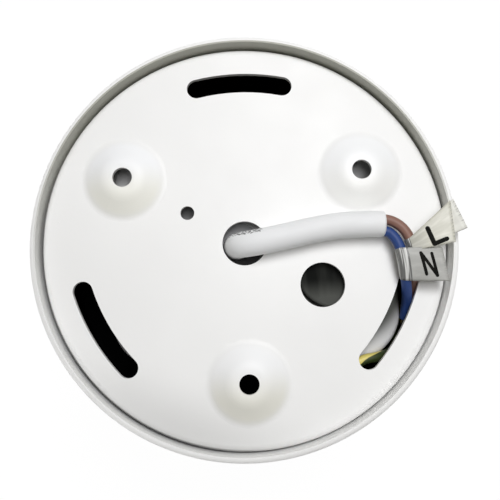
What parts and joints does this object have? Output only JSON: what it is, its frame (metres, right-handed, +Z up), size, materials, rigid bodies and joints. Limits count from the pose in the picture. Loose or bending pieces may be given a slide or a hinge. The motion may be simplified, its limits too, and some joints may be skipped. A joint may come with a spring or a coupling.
{
  "type": "ceiling spotlight",
  "caption": "Round surface-mounted ceiling spotlight with a pressed white mounting plate, wired driver compartment and a gimbal lamp head.",
  "frame": {"origin": "centre of the circle of three fixing holes, in the plane of the raised domes' tops that touch the ceiling", "axes": "+Z points up at the ceiling out of the mounting plate; +Y points to the plate's slot that stands at the top of the picture; +X points to its right-hand side"},
  "size_m": [0.1, 0.1, 0.1149],
  "materials": {
    "white_coat": "smooth white powder coat on aluminium",
    "plate_coat": "smooth white powder coat on pressed steel",
    "black_coat": "fine matt black powder coat on aluminium",
    "black_steel": "black oxide",
    "zinc_steel": "bright zinc plate",
    "spring_steel": "bare rolled spring steel",
    "driver_plastic": "grey moulded plastic",
    "circuit_board": "green solder mask",
    "component_plastic": "dark moulded parts",
    "grey_rubber": "smooth grey rubber",
    "seal_rubber": "smooth black rubber",
    "pad_rubber": "soft grey silicone sheet",
    "cable_sheath": "smooth white sheath",
    "brown_insulation": "smooth brown insulation",
    "blue_insulation": "smooth blue insulation",
    "earth_insulation": "yellow and green striped insulation",
    "strand_metal": "bare twisted tinned copper",
    "tinned_copper": "tin plate",
    "clear_tape": null,
    "grey_tape": null,
    "lead_sheath": "pale silicone sheath",
    "nylon": "natural white nylon",
    "clear_glass": "clear toughened glass",
    "bright_reflector": "bright metallised, facetted",
    "phosphor": "yellow phosphor with a white rim",
    "white_board": "white solder mask on aluminium",
    "black_anodised": "matt black anodised"
  },
  "bodies": {
    "housing": {"housing_shell": "white_coat", "mounting_plate": "plate_coat", "plate_set_screws": "black_steel", "driver_case": "driver_plastic", "driver_lid": "driver_plastic", "driver_board": "circuit_board", "driver_components": "component_plastic", "cable_gland": "grey_rubber", "driver_lid_screws": "zinc_steel", "driver_screws": "zinc_steel", "supply_cable": "cable_sheath", "live_core": "brown_insulation", "neutral_core": "blue_insulation", "live_strands": "strand_metal", "neutral_strands": "strand_metal", "live_flag": "clear_tape", "neutral_flag": "grey_tape", "earth_wire": "earth_insulation", "earth_terminals": "tinned_copper", "earth_nut": "zinc_steel", "earth_screw": "zinc_steel", "lead_grommet": "grey_rubber", "bezel": "white_coat", "bezel_seal": "seal_rubber", "bezel_set_screws": "black_steel", "spring_washer": "spring_steel", "snap_ring": "spring_steel"},
    "swivel": {"swivel_ring": "white_coat", "lamp_lead": "lead_sheath"},
    "lamp": {"pivot_washers": "nylon", "pivot_screws": "zinc_steel", "lamp_head": "black_coat", "front_ring": "black_coat", "front_glass": "clear_glass", "glass_gasket": "seal_rubber", "reflector": "bright_reflector", "led_emitter": "phosphor", "led_board": "white_board", "led_holder": "nylon", "holder_screws": "zinc_steel", "thermal_pad": "pad_rubber", "heat_sink": "black_anodised", "heat_sink_screws": "zinc_steel", "lead_gland": "grey_rubber"}
  },
  "joints": [
    {"name": "swivel", "type": "hinge", "parent": "housing", "child": "swivel", "pos_m": [0, 0, -0.097], "axis": [0, 0, 1], "range_deg": [-175, 175], "deforming": ["lamp_lead"]},
    {"name": "lamp_tilt", "type": "hinge", "parent": "swivel", "child": "lamp", "pos_m": [0, 0, -0.097], "axis": [1, 0, 0], "range_deg": [-30, 30], "deforming": ["lamp_lead"]}
  ]
}
